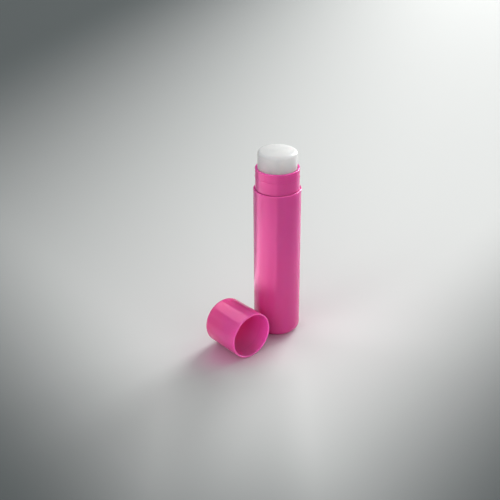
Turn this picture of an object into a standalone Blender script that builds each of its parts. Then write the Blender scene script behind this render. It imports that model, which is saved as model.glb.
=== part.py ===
"""A twist-up lip balm stick with its cap taken off and laid beside it.

The outer sleeve holds a screw spindle by its splined foot. The inner tube turns in the
sleeve on the spindle's flange, and its ribs turn the elevator cup with it. The cup is the
nut on the spindle, so turning the tube raises or lowers the balm that stands in the cup.

Metres, +Z up. The origin is the centre of the sleeve's flat foot.
"""

import math

import bmesh
import bpy
from mathutils import Matrix, Vector

# Balm
BALM_DIAMETER = 0.0131
BALM_CLEARANCE = 0.0001
BALM_EDGE_ROUND = 0.0011
BALM_CROWN = 0.0004
BALM_HOLE_CLEARANCE = 0.0003
BALM_SOLID_TIP_CLEARANCE = 0.0005
RETRACTED_DEPTH = 0.001
RAISED_AT_REST = 0.0072

# Inner tube and its neck
TUBE_WALL = 0.0005
NECK_HEIGHT = 0.0073
NECK_SEAT = 0.0001
LIP_ROUND = 0.0002
SNAP_RING_HEIGHT = 0.0042
SNAP_RING_PROUD = 0.0001
SNAP_RING_WIDTH = 0.0008
FOOT_LIP_THICKNESS = 0.0012
FOOT_LIP_GRIP = 0.0005
RIB_COUNT = 4
RIB_WIDTH = 0.0011
RIB_HEIGHT = 0.0008
RIB_CLEARANCE = 0.0002
RIB_TOP_DEPTH = 0.0007

# Outer sleeve
SLEEVE_HEIGHT = 0.0535
SLEEVE_WALL = 0.0007
SLEEVE_FLOOR = 0.0015
SLEEVE_FOOT_ROUND = 0.0026
SLEEVE_INNER_ROUND = 0.0012
SLEEVE_RIM_ROUND = 0.0002
SOCKET_WALL = 0.0013
SOCKET_DEPTH = 0.0039
SOCKET_RIB_COUNT = 4
SOCKET_RIB_WIDTH = 0.0008
SOCKET_RIB_HEIGHT = 0.0018

# Screw spindle
THREAD_RADIUS = 0.00175
THREAD_DEPTH = 0.0006
THREAD_LEAD = 0.005
THREAD_STARTS = 2
THREAD_TIP_HEIGHT = 0.0008
THREAD_CLEARANCE = 0.0002
THREAD_FLANK_CLEARANCE = 0.00015
THREAD_OVERLENGTH = 0.0005
SPLINE_RADIUS = 0.002
SPLINE_DEPTH = 0.0003
SPLINE_COUNT = 8
SPLINE_CLEARANCE = 0.0001
FLANGE_THICKNESS = 0.0012
COLLAR_RADIUS = 0.0026
COLLAR_HEIGHT = 0.0006

# Elevator cup
CUP_WALL = 0.0007
CUP_DEPTH = 0.0048
CUP_WEB = 0.0012
CUP_SKIRT = 0.006
CUP_CLEARANCE = 0.00015
NUT_RADIUS = 0.0033
NUT_THREAD_HEIGHT = 0.0024
NUT_BORE_SPARE = 0.0002

# Cap
CAP_LENGTH = 0.0158
CAP_CLEARANCE = 0.00008
CAP_TOP = 0.0012
CAP_DRAFT = 0.0006
CAP_END_ROUND = 0.0022
CAP_INNER_ROUND = 0.0014
CAP_GROOVE_SPARE = 0.0001
CAP_SIDE_GAP = 0.0034
CAP_MOUTH_FORWARD = 0.0088

# Fits that are shared
RUNNING_CLEARANCE = 0.00015
SEAT_GAP = 0.0003
CUT_OVERRUN = 0.001
JOIN_DEPTH = 0.0002
MERGE_DISTANCE = 0.0000001

# Facets
ROUND_SIDES = 48
CORNER_STEPS = 4
LARGE_CORNER_STEPS = 7
CROWN_STEPS = 3
TWIST_STEPS_PER_TURN = 18
SHARP_ANGLE = math.radians(35)

# Around one start of the thread, as shares of its angle: where the root ends, and where
# the crest starts and ends
ROOT_END_SHARE = 0.42
CREST_START_SHARE = 0.55
CREST_END_SHARE = 0.87

# Around one spline, as shares of its angle: where its top and the gap after it start and end
SPLINE_TOP_SHARES = (0.0, 0.4)
SPLINE_GAP_SHARES = (0.5, 0.9)

# Radii, from the balm outwards
balm_radius = BALM_DIAMETER / 2
tube_bore = balm_radius + BALM_CLEARANCE
tube_radius = tube_bore + TUBE_WALL
sleeve_bore = tube_radius + RUNNING_CLEARANCE
sleeve_radius = sleeve_bore + SLEEVE_WALL
neck_radius = sleeve_bore + NECK_SEAT
cap_bore = neck_radius + CAP_CLEARANCE
cup_radius = tube_bore - CUP_CLEARANCE
flange_radius = tube_bore - RUNNING_CLEARANCE
rib_inner_radius = tube_bore - RIB_HEIGHT
slot_inner_radius = rib_inner_radius - RIB_CLEARANCE
slot_width = RIB_WIDTH + 2 * RIB_CLEARANCE
socket_radius = SPLINE_RADIUS + SPLINE_CLEARANCE + SOCKET_WALL

# Heights, from the foot upwards
socket_top = SLEEVE_FLOOR + SOCKET_DEPTH
flange_bottom = socket_top + SEAT_GAP
flange_top = flange_bottom + FLANGE_THICKNESS
foot_lip_top = flange_bottom - SEAT_GAP
collar_top = flange_top + COLLAR_HEIGHT
cup_lowest = collar_top + SEAT_GAP
cup_at_rest = cup_lowest + RAISED_AT_REST
nut_height = CUP_SKIRT + CUP_WEB
cup_height = nut_height + CUP_DEPTH
rib_bottom = flange_top + SEAT_GAP
rib_top = SLEEVE_HEIGHT - RIB_TOP_DEPTH
travel = rib_top - cup_height - cup_lowest
thread_top = cup_lowest + travel + nut_height + THREAD_OVERLENGTH
spindle_top = thread_top + THREAD_TIP_HEIGHT
neck_top = SLEEVE_HEIGHT + NECK_HEIGHT


def clear_scene():
    for item in list(bpy.data.objects):
        bpy.data.objects.remove(item, do_unlink=True)


def make_material(name, colour, roughness, transmission=0.0):
    material = bpy.data.materials.new(name)
    material.use_nodes = True
    shader = material.node_tree.nodes["Principled BSDF"]
    shader.inputs["Base Color"].default_value = (*colour, 1.0)
    shader.inputs["Roughness"].default_value = roughness
    shader.inputs["Metallic"].default_value = 0.0
    shader.inputs["Transmission Weight"].default_value = transmission
    return material


def place(item, parent, location):
    bpy.context.collection.objects.link(item)
    item.parent = parent
    item.location = location
    return item


def make_empty(name, parent, location):
    return place(bpy.data.objects.new(name, None), parent, location)


def mesh_object(name, mesh_builder, material=None):
    """An object from a bmesh, with sharp corners kept and round faces smooth."""
    mesh = bpy.data.meshes.new(name)
    mesh_builder.to_mesh(mesh)
    mesh_builder.free()
    mesh.shade_smooth()
    mesh.set_sharp_from_angle(angle=SHARP_ANGLE)
    if material:
        mesh.materials.append(material)
    return bpy.data.objects.new(name, mesh)


def corner(centre_r, centre_z, radius, start, end, steps=CORNER_STEPS):
    """Points of a rounded corner in the (radius, height) plane, angles in degrees."""
    points = []
    for step in range(steps + 1):
        angle = math.radians(start + (end - start) * step / steps)
        points.append((centre_r + radius * math.cos(angle), centre_z + radius * math.sin(angle)))
    return points


def turned(outline):
    """A bmesh turned about Z from (radius, height) points.

    An outline whose first and last points lie on the axis makes a solid, and any other
    is closed on itself and makes a ring."""
    builder = bmesh.new()
    points = [builder.verts.new((radius, 0, height)) for radius, height in outline]
    edges = [builder.edges.new(pair) for pair in zip(points, points[1:])]
    if outline[0][0] > 0:
        edges.append(builder.edges.new((points[-1], points[0])))
    bmesh.ops.spin(
        builder,
        geom=points + edges,
        cent=(0, 0, 0),
        axis=(0, 0, 1),
        angle=math.tau,
        steps=ROUND_SIDES,
        use_duplicate=False,
    )
    bmesh.ops.remove_doubles(builder, verts=builder.verts, dist=MERGE_DISTANCE)
    bmesh.ops.recalc_face_normals(builder, faces=builder.faces)
    return builder


def stacked(rings):
    """A bmesh through rings of as many points each, with both ends closed."""
    builder = bmesh.new()
    layers = [[builder.verts.new(point) for point in ring] for ring in rings]
    for lower, upper in zip(layers, layers[1:]):
        for index in range(len(lower)):
            after = (index + 1) % len(lower)
            builder.faces.new((lower[index], lower[after], upper[after], upper[index]))
    builder.faces.new(reversed(layers[0]))
    builder.faces.new(layers[-1])
    bmesh.ops.recalc_face_normals(builder, faces=builder.faces)
    return builder


def thread_ring(height, root, crest, flank_spare):
    """The spindle's section at one height: a lobe for each start, turned left-handed."""
    spare_share = flank_spare * THREAD_STARTS / THREAD_LEAD
    root_end = ROOT_END_SHARE - spare_share
    root_start = spare_share
    crest_start = CREST_START_SHARE - spare_share
    crest_end = CREST_END_SHARE + spare_share
    section = [
        (root_start, root),
        ((root_start + root_end) / 2, root),
        (root_end, root),
        (crest_start, crest),
        ((crest_start + crest_end) / 2, crest),
        (crest_end, crest),
    ]
    turn = -math.tau * height / THREAD_LEAD
    ring = []
    for start in range(THREAD_STARTS):
        for share, radius in section:
            angle = turn + math.tau * (start + share) / THREAD_STARTS
            ring.append((radius * math.cos(angle), radius * math.sin(angle)))
    return ring


def thread(bottom, top, grow, flank_spare, shift=0.0):
    """A twisted bar between two heights. Its lowest ring lies at height bottom - shift."""
    root = THREAD_RADIUS - THREAD_DEPTH + grow
    crest = THREAD_RADIUS + grow
    count = math.ceil((top - bottom) / THREAD_LEAD * TWIST_STEPS_PER_TURN)
    rings = []
    for step in range(count + 1):
        height = bottom + (top - bottom) * step / count
        section = thread_ring(height, root, crest, flank_spare)
        rings.append([(x, y, height - shift) for x, y in section])
    return rings


def splines(bottom, top, grow):
    """A straight fluted bar for the spindle's foot and, grown, for its socket."""
    top_radius = SPLINE_RADIUS + grow
    gap_radius = top_radius - SPLINE_DEPTH
    section = [(share, top_radius) for share in SPLINE_TOP_SHARES]
    section += [(share, gap_radius) for share in SPLINE_GAP_SHARES]
    outline = []
    for tooth in range(SPLINE_COUNT):
        for share, radius in section:
            angle = math.tau * (tooth + share) / SPLINE_COUNT
            outline.append((radius * math.cos(angle), radius * math.sin(angle)))
    return stacked([[(x, y, height) for x, y in outline] for height in (bottom, top)])


def bars(count, bottom, top, inner, outer, width):
    """Upright bars spread evenly about the axis, in one bmesh."""
    builder = bmesh.new()
    size = Vector((outer - inner, width, top - bottom))
    centre = Vector(((outer + inner) / 2, 0, (top + bottom) / 2))
    for index in range(count):
        turn = Matrix.Rotation(math.tau * (index + 0.5) / count, 4, "Z")
        shape = turn @ Matrix.Translation(centre) @ Matrix.Diagonal((*size, 1))
        bmesh.ops.create_cube(builder, size=1, matrix=shape)
    return builder


def boolean(target, name, builder, operation):
    """Cuts a helper solid from the target or joins it on. The helper is not rendered."""
    helper = mesh_object(name, builder)
    place(helper, target.parent, target.location)
    helper.hide_render = True
    helper.display_type = "WIRE"
    modifier = target.modifiers.new(name, "BOOLEAN")
    modifier.operation = operation
    modifier.solver = "EXACT"
    modifier.object = helper


def make_outer_sleeve(parent, material):
    """The body: a deep cup, with a ribbed socket for the spindle standing on its floor."""
    foot_centre = sleeve_radius - SLEEVE_FOOT_ROUND
    rim_centre = sleeve_radius - SLEEVE_RIM_ROUND
    rim_height = SLEEVE_HEIGHT - SLEEVE_RIM_ROUND
    inner_corner = SLEEVE_FLOOR + SLEEVE_INNER_ROUND
    outline = [(0, 0)]
    outline += corner(foot_centre, SLEEVE_FOOT_ROUND, SLEEVE_FOOT_ROUND, -90, 0, LARGE_CORNER_STEPS)
    outline += corner(rim_centre, rim_height, SLEEVE_RIM_ROUND, 0, 90)
    outline += [(sleeve_bore, SLEEVE_HEIGHT)]
    outline += corner(sleeve_bore - SLEEVE_INNER_ROUND, inner_corner, SLEEVE_INNER_ROUND, 0, -90)
    outline += [(socket_radius, SLEEVE_FLOOR), (socket_radius, socket_top), (0, socket_top)]
    sleeve = place(mesh_object("outer_sleeve", turned(outline), material), parent, (0, 0, 0))
    rib_base = SLEEVE_FLOOR - JOIN_DEPTH
    rib_height = SLEEVE_FLOOR + SOCKET_RIB_HEIGHT
    rib_reach = sleeve_bore + JOIN_DEPTH
    ribs = bars(
        SOCKET_RIB_COUNT, rib_base, rib_height, socket_radius - JOIN_DEPTH, rib_reach, SOCKET_RIB_WIDTH
    )
    boolean(sleeve, "socket_ribs", ribs, "UNION")
    socket = splines(SLEEVE_FLOOR, socket_top + CUT_OVERRUN, SPLINE_CLEARANCE)
    boolean(sleeve, "socket_cutter", socket, "DIFFERENCE")
    return sleeve


def make_screw_spindle(parent, material):
    """The screw, its collar, the flange that carries the tube, and the splined foot."""
    outline = [
        (0, flange_bottom),
        (flange_radius, flange_bottom),
        (flange_radius, flange_top),
        (COLLAR_RADIUS, flange_top),
        (COLLAR_RADIUS, collar_top),
        (0, collar_top),
    ]
    spindle = place(mesh_object("screw_spindle", turned(outline), material), parent, (0, 0, 0))
    rod = thread(flange_bottom + JOIN_DEPTH, thread_top, 0, 0)
    tip_scale = 1 - THREAD_DEPTH / THREAD_RADIUS
    rod.append([(x * tip_scale, y * tip_scale, spindle_top) for x, y, height in rod[-1]])
    boolean(spindle, "thread_rod", stacked(rod), "UNION")
    foot = splines(SLEEVE_FLOOR + SEAT_GAP, flange_bottom + FLANGE_THICKNESS / 2, 0)
    boolean(spindle, "splined_foot", foot, "UNION")
    return spindle


def make_inner_tube(parent, material):
    """The turning tube. Its neck rests on the sleeve's rim and its foot hooks the flange."""
    seat = SLEEVE_HEIGHT + SEAT_GAP
    ring_middle = SLEEVE_HEIGHT + SNAP_RING_HEIGHT
    foot_bottom = foot_lip_top - FOOT_LIP_THICKNESS
    outline = [
        (flange_radius - FOOT_LIP_GRIP, foot_bottom),
        (tube_radius, foot_bottom),
        (tube_radius, seat),
        (neck_radius, seat),
        (neck_radius, ring_middle - SNAP_RING_WIDTH / 2),
        (neck_radius + SNAP_RING_PROUD, ring_middle),
        (neck_radius, ring_middle + SNAP_RING_WIDTH / 2),
    ]
    outline += corner(neck_radius - LIP_ROUND, neck_top - LIP_ROUND, LIP_ROUND, 0, 90)
    outline += corner(tube_bore + LIP_ROUND, neck_top - LIP_ROUND, LIP_ROUND, 90, 180)
    outline += [(tube_bore, foot_lip_top), (flange_radius - FOOT_LIP_GRIP, foot_lip_top)]
    tube = place(mesh_object("inner_tube", turned(outline), material), parent, (0, 0, 0))
    ribs = bars(RIB_COUNT, rib_bottom, rib_top, rib_inner_radius, tube_bore + JOIN_DEPTH, RIB_WIDTH)
    boolean(tube, "ribs", ribs, "UNION")
    return tube


def make_elevator_cup(parent, material):
    """The carrier: a cup above its web, a skirt and the nut's hub below it.

    Only the hub's top is threaded. Below that its bore is plain and clears the thread."""
    inner = cup_radius - CUP_WALL
    outline = [
        (0, 0),
        (NUT_RADIUS, 0),
        (NUT_RADIUS, CUP_SKIRT),
        (inner, CUP_SKIRT),
        (inner, 0),
        (cup_radius, 0),
        (cup_radius, cup_height),
        (inner, cup_height),
        (inner, nut_height),
        (0, nut_height),
    ]
    cup = place(mesh_object("elevator_cup", turned(outline), material), parent, (0, 0, 0))
    slot_top = cup_height + CUT_OVERRUN
    slot_reach = cup_radius + CUT_OVERRUN
    slots = bars(RIB_COUNT, -CUT_OVERRUN, slot_top, slot_inner_radius, slot_reach, slot_width)
    boolean(cup, "slot_cutter", slots, "DIFFERENCE")
    thread_bottom = nut_height - NUT_THREAD_HEIGHT
    bore = THREAD_RADIUS + THREAD_CLEARANCE + NUT_BORE_SPARE
    bore_outline = [(0, -CUT_OVERRUN), (bore, -CUT_OVERRUN), (bore, thread_bottom), (0, thread_bottom)]
    boolean(cup, "bore_cutter", turned(bore_outline), "DIFFERENCE")
    bottom = cup_at_rest + thread_bottom - CUT_OVERRUN
    top = cup_at_rest + nut_height + CUT_OVERRUN
    nut = thread(bottom, top, THREAD_CLEARANCE, THREAD_FLANK_CLEARANCE, cup_at_rest)
    boolean(cup, "nut_cutter", stacked(nut), "DIFFERENCE")
    return cup


def make_lip_balm(parent, material):
    """The wax stick: its foot in the cup, a hole for the spindle, a rounded crowned top."""
    foot = nut_height + BALM_CLEARANCE
    shoulder = cup_height + BALM_CLEARANCE
    foot_radius = cup_radius - CUP_WALL - BALM_CLEARANCE
    edge = neck_top - RETRACTED_DEPTH - BALM_CROWN - cup_lowest
    hole = THREAD_RADIUS + BALM_HOLE_CLEARANCE
    hole_top = spindle_top + BALM_SOLID_TIP_CLEARANCE - cup_lowest
    outline = [(0, hole_top), (hole, hole_top), (hole, foot), (foot_radius, foot)]
    outline += [(foot_radius, shoulder), (balm_radius, shoulder)]
    crown_radius = balm_radius - BALM_EDGE_ROUND
    edge_centre = edge - BALM_EDGE_ROUND
    outline += corner(crown_radius, edge_centre, BALM_EDGE_ROUND, 0, 90, LARGE_CORNER_STEPS)
    for step in range(1, CROWN_STEPS + 1):
        share = 1 - step / CROWN_STEPS
        outline.append((crown_radius * share, edge + BALM_CROWN * (1 - share**2)))
    balm = place(mesh_object("lip_balm", turned(outline), material), parent, (0, 0, 0))
    groove_top = rib_top + RIB_CLEARANCE - cup_lowest
    groove_reach = balm_radius + CUT_OVERRUN
    grooves = bars(RIB_COUNT, foot - CUT_OVERRUN, groove_top, slot_inner_radius, groove_reach, slot_width)
    boolean(balm, "groove_cutter", grooves, "DIFFERENCE")
    return balm


def make_cap(parent, material):
    """The cap, modelled mouth down as it sits on the neck. Its bore narrows past the neck."""
    end_bore = cap_bore - CAP_DRAFT
    inner_end = CAP_LENGTH - CAP_TOP
    groove = neck_radius + SNAP_RING_PROUD + CAP_CLEARANCE
    groove_reach = SNAP_RING_WIDTH / 2 + CAP_GROOVE_SPARE
    outline = corner(cap_bore + LIP_ROUND, LIP_ROUND, LIP_ROUND, 180, 270)
    outline += corner(sleeve_radius - LIP_ROUND, LIP_ROUND, LIP_ROUND, 270, 360)
    end_centre = sleeve_radius - CAP_END_ROUND
    outline += corner(end_centre, CAP_LENGTH - CAP_END_ROUND, CAP_END_ROUND, 0, 90, LARGE_CORNER_STEPS)
    outline += [(0, CAP_LENGTH), (0, inner_end)]
    inner_centre = end_bore - CAP_INNER_ROUND
    outline += corner(inner_centre, inner_end - CAP_INNER_ROUND, CAP_INNER_ROUND, 90, 0)
    outline += [
        (cap_bore, NECK_HEIGHT),
        (cap_bore, SNAP_RING_HEIGHT + groove_reach),
        (groove, SNAP_RING_HEIGHT),
        (cap_bore, SNAP_RING_HEIGHT - groove_reach),
    ]
    cap = mesh_object("cap", turned(outline), material)
    return place(cap, parent, (0, 0, 0))


def main():
    clear_scene()
    pink_sleeve = make_material("sleeve_pink_plastic", (0.62, 0.075, 0.27), 0.3)
    pink_tube = make_material("tube_pink_plastic", (0.62, 0.075, 0.27), 0.32)
    pink_cap = make_material("cap_pink_plastic", (0.62, 0.075, 0.27), 0.3)
    spindle_white = make_material("spindle_natural_plastic", (0.86, 0.86, 0.83), 0.45)
    cup_white = make_material("cup_natural_plastic", (0.9, 0.9, 0.88), 0.45)
    wax = make_material("balm_wax", (0.72, 0.73, 0.72), 0.45, 0.2)

    make_outer_sleeve(None, pink_sleeve)
    make_screw_spindle(None, spindle_white)
    twist_axis = make_empty("twist_axis", None, (0, 0, 0))
    make_inner_tube(twist_axis, pink_tube)
    lift_axis = make_empty("lift_axis", twist_axis, (0, 0, cup_at_rest))
    make_elevator_cup(lift_axis, cup_white)
    make_lip_balm(lift_axis, wax)
    cap_axis_x = -(2 * sleeve_radius + CAP_SIDE_GAP)
    cap_place = make_empty("cap_place", None, (cap_axis_x, -CAP_MOUTH_FORWARD, sleeve_radius))
    cap_place.rotation_euler = (-math.pi / 2, 0, 0)
    make_cap(cap_place, pink_cap)


main()
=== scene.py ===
# %% [markdown]
# # A lip balm stick with its cap taken off
#
# The mechanical model of the stick is finished before this lesson starts. It says how large
# every piece is, where it stands and how it moves, and nothing here changes that. This lesson
# builds the looks around it: each piece is modelled again with fine, round surfaces, gets the
# finish of the real material, and is lit like a small product in a photo studio.

# %% Load the mechanical model
import math

import bmesh
import bpy
from mathutils import Matrix, Vector


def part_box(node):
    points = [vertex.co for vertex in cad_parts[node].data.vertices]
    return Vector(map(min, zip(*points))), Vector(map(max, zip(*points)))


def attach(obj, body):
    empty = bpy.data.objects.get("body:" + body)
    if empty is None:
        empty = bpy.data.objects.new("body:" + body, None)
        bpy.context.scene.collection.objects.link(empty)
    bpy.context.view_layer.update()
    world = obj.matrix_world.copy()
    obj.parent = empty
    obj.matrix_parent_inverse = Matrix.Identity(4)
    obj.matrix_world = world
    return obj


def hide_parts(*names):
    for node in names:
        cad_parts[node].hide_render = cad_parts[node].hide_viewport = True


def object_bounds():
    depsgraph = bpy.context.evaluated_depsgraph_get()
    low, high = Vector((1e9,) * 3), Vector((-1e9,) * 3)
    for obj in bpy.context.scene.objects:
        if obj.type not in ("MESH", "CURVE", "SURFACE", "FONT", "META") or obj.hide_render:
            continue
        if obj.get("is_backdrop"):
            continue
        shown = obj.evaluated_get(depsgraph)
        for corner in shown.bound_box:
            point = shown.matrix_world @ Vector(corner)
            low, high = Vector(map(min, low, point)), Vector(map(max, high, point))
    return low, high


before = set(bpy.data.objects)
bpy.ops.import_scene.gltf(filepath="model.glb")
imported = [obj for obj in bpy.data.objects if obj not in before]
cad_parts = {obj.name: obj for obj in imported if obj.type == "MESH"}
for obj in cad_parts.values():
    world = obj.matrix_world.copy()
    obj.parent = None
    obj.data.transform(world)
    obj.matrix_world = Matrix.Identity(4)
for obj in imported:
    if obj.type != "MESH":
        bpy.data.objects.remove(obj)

frame_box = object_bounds()
print("Nodes in the mechanical model:", ", ".join(sorted(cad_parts)))

# %% [markdown]
# ## Sizes
# A moulder's drawing gives a few driving sizes and works the rest out from them. The outer
# sizes are read from the boxes of the mechanical pieces, so the new surfaces can't drift away
# from them. Only what a box can't show, such as a wall or a rounded edge, has a value here.

# %% Read the outer sizes
MM = 0.001
sleeve_low, sleeve_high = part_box("outer_sleeve")
tube_low, tube_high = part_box("inner_tube")
spindle_low, spindle_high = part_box("screw_spindle")
carrier_low, carrier_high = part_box("elevator_cup")
balm_low, balm_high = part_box("lip_balm")
cap_low, cap_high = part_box("cap")


def half_width(low, high):
    """The radius of an upright round piece, from its box."""
    return (high.x - low.x) / 2


sleeve_radius = half_width(sleeve_low, sleeve_high)
sleeve_top = sleeve_high.z
snap_ring_radius = half_width(tube_low, tube_high)
neck_top = tube_high.z
flange_radius = half_width(spindle_low, spindle_high)
carrier_radius = half_width(carrier_low, carrier_high)
balm_radius = half_width(balm_low, balm_high)
cap_radius = half_width(cap_low, cap_high)
cap_length = cap_high.y - cap_low.y
print(f"Sleeve {2 * sleeve_radius / MM:.1f} mm wide and {sleeve_top / MM:.1f} mm high")
print(f"Cap {2 * cap_radius / MM:.1f} mm wide and {cap_length / MM:.1f} mm long")

# %% Walls and radii, from the outside inwards
sleeve_wall = 0.7 * MM
running_gap = 0.15 * MM
tube_wall = 0.5 * MM
snap_ring_proud = 0.1 * MM
rib_height = 0.8 * MM
rib_width = 1.1 * MM
rib_gap = 0.2 * MM
rib_count = 4
join_depth = 0.2 * MM
sleeve_bore = sleeve_radius - sleeve_wall
tube_radius = sleeve_bore - running_gap
tube_bore = tube_radius - tube_wall
neck_radius = snap_ring_radius - snap_ring_proud
rib_inner_radius = tube_bore - rib_height
slot_inner_radius = rib_inner_radius - rib_gap
slot_width = rib_width + 2 * rib_gap

# %% [markdown]
# ## A few helpers for edit mode
# In the viewport a modeller clicks on the faces and edges to change. In a script they are
# picked by their place: how far along the axis of the piece they lie, and how far from it.
# Every helper below is one hand movement: start on a primitive, pick, pull, round an edge,
# cut one solid out of another, and check the result.

# %% Pick by place
NEAR = 0.005 * MM
SAME_WAY = 0.9
UP = Vector((0, 0, 1))
DOWN = -UP
stick_axis = (Vector((0, 0, 0)), UP)


def along(point, axis):
    """How far along the axis a point lies."""
    return (point - axis[0]).dot(axis[1])


def away(point, axis):
    """How far from the axis a point lies."""
    offset = point - axis[0]
    return (offset - axis[1] * offset.dot(axis[1])).length


def ring_at(height, radius, axis=stick_axis):
    """A test for edges that lie on a circle round the axis."""

    def test(edge):
        heights = [abs(along(corner.co, axis) - height) for corner in edge.verts]
        radii = [abs(away(corner.co, axis) - radius) for corner in edge.verts]
        return max(heights + radii) < NEAR

    return test


def flat_at(height, facing, axis=stick_axis):
    """A test for faces that lie at a height and face one way along the axis."""

    def test(face):
        heights = [abs(along(corner.co, axis) - height) for corner in face.verts]
        return max(heights) < NEAR and face.normal.dot(facing) > SAME_WAY

    return test


def pick(kind, wanted):
    """Selects the vertices, edges or faces that pass a test, and nothing else."""
    bpy.ops.mesh.select_mode(type=kind)
    bpy.ops.mesh.select_all(action="DESELECT")
    mesh = bmesh.from_edit_mesh(bpy.context.object.data)
    everything = {"VERT": mesh.verts, "EDGE": mesh.edges, "FACE": mesh.faces}[kind]
    found = [item for item in everything if wanted(item)]
    for item in found:
        item.select_set(True)
    mesh.select_flush_mode()
    bmesh.update_edit_mesh(bpy.context.object.data)
    if not found:
        raise ValueError(f"nothing to pick on {bpy.context.object.name}")


# %% Start, pull, round and finish
ROUND_SIDES = 128


def start_piece(name):
    """Names the primitive that was just added and opens it in edit mode."""
    piece = bpy.context.object
    piece.name = name
    piece.data.name = name
    bpy.ops.object.transform_apply(location=True, rotation=True, scale=True)
    bpy.ops.object.mode_set(mode="EDIT")
    return piece


def add_cylinder(name, radius, low, high):
    """An upright cylinder on the stick's axis, opened in edit mode."""
    bpy.ops.object.select_all(action="DESELECT")
    bpy.ops.mesh.primitive_cylinder_add(
        vertices=ROUND_SIDES, radius=radius, depth=high - low, location=(0, 0, (low + high) / 2)
    )
    return start_piece(name)


def pull(distance, way=UP):
    """Extrudes what is selected by a distance."""
    bpy.ops.mesh.extrude_region_move(TRANSFORM_OT_translate={"value": way * distance})


def round_edge(radius, steps, wanted):
    """Rounds the picked edges with an arc."""
    pick("EDGE", wanted)
    bpy.ops.mesh.bevel(offset=radius, segments=steps, profile=0.5, affect="EDGES")


def use_modifier(piece, kind, **settings):
    """Adds a modifier, sets it up and applies it."""
    modifier = piece.modifiers.new(kind.lower(), kind)
    for key, value in settings.items():
        setattr(modifier, key, value)
    bpy.context.view_layer.objects.active = piece
    bpy.ops.object.modifier_apply(modifier=modifier.name)


def combine(piece, tool, operation):
    """Cuts a helper solid out of a piece, or joins it on, and throws the helper away."""
    use_modifier(piece, "BOOLEAN", operation=operation, solver="EXACT", object=tool)
    bpy.data.objects.remove(tool, do_unlink=True)


def close_piece(piece):
    """Ends edit mode with the faces turned outwards."""
    bpy.ops.mesh.select_all(action="SELECT")
    bpy.ops.mesh.normals_make_consistent(inside=False)
    bpy.ops.object.mode_set(mode="OBJECT")
    return piece


# %% [markdown]
# Round pieces are shaded smooth. Left alone, Blender would also bend the shading of the long
# straight walls towards their rounded ends. The Weighted Normal modifier lets the large faces
# win, so the walls stay straight and only the small round strips bend, as on a real moulding.

# %% Smooth shading and a check
SHARP_ANGLE = math.radians(32)


def finish_surface(piece):
    """Shades a piece smooth, keeps its corners and prints what it measures."""
    bpy.ops.object.select_all(action="DESELECT")
    piece.select_set(True)
    bpy.context.view_layer.objects.active = piece
    bpy.ops.object.shade_smooth_by_angle(angle=SHARP_ANGLE)
    use_modifier(piece, "WEIGHTED_NORMAL", keep_sharp=True)
    mesh = bmesh.new()
    mesh.from_mesh(piece.data)
    open_edges = sum(1 for edge in mesh.edges if not edge.is_manifold)
    volume = mesh.calc_volume(signed=True) / MM**3
    triangles = sum(len(face.verts) - 2 for face in mesh.faces)
    mesh.free()
    print(f"{piece.name}: {triangles} triangles, {volume:.0f} mm3, {open_edges} open edges")


# %% [markdown]
# ## The outer sleeve
# The sleeve is a deep, thin cup of polypropylene, closed by a rounded foot. In the mould its
# inside is shaped by one long core, so it could be turned from an outline or built up from a
# cylinder. The cylinder is chosen here because each step is easy to follow: inset the top by
# the wall, push it down to the floor, then round the edges that a moulder would round.

# %% Hollow the sleeve and round its edges
sleeve_floor = 1.5 * MM
foot_round = 2.6 * MM
inner_round = 1.2 * MM
rim_round = 0.2 * MM
edge_break = 0.06 * MM
end_steps = 14
inner_steps = 6
rim_steps = 5
edge_steps = 2

sleeve = add_cylinder("sleeve_shell", sleeve_radius, 0, sleeve_top)
pick("FACE", flat_at(sleeve_top, UP))
bpy.ops.mesh.inset(thickness=sleeve_wall)
pull(sleeve_floor - sleeve_top)
round_edge(inner_round, inner_steps, ring_at(sleeve_floor, sleeve_bore))
round_edge(foot_round, end_steps, ring_at(0, sleeve_radius))
round_edge(rim_round, rim_steps, ring_at(sleeve_top, sleeve_radius))
round_edge(edge_break, edge_steps, ring_at(sleeve_top, sleeve_bore))
print(f"The sleeve's wall is {sleeve_wall / MM:.1f} mm thick and its floor {sleeve_floor / MM:.1f} mm")

# %% [markdown]
# The plastic entered the mould at the middle of the foot. What such a gate leaves is a shallow
# round dish with a small nub in it, kept below the face so that the stick doesn't wobble.
# The same mark is on the closed end of the cap, so it becomes a function.

# %% Gate mark under the foot
gate_radius = 1.3 * MM
gate_depth = 0.2 * MM
nub_radius = 0.4 * MM
nub_height = 0.12 * MM


def mark_gate(height, facing, face_radius, axis=stick_axis):
    """A shallow dish with a nub in the middle of a flat round face."""
    pick("FACE", flat_at(height, facing, axis))
    bpy.ops.mesh.inset(thickness=face_radius - gate_radius)
    bpy.ops.mesh.inset(thickness=gate_depth, depth=-gate_depth)
    bpy.ops.mesh.inset(thickness=gate_radius - gate_depth - nub_radius)
    bpy.ops.mesh.inset(thickness=nub_height / 2, depth=nub_height)


mark_gate(0, DOWN, sleeve_radius - foot_round)
print(f"Gate mark {2 * gate_radius / MM:.1f} mm wide and {gate_depth / MM:.1f} mm deep")

# %% [markdown]
# Inside, the floor carries a socket that grips the splined foot of the screw. It is raised from
# the floor face: inset to the width of the socket, pull it up, then cut the splined hole with a
# fluted bar. Four low ribs stiffen it. One rib is modelled and the Spin tool copies it round.

# %% Fluted bar and upright ribs
spline_count = 8
spline_points = 10
spline_radius = 2.0 * MM
spline_depth = 0.3 * MM
spline_gap = 0.1 * MM
spline_top_share = 0.45


def turn_share(corner, count):
    """Where a vertex lies in its sector, from 0 to 1. One on a border counts to the next."""
    slip = 0.001
    return (math.atan2(corner.co.y, corner.co.x) * count / math.tau + slip) % 1


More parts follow.
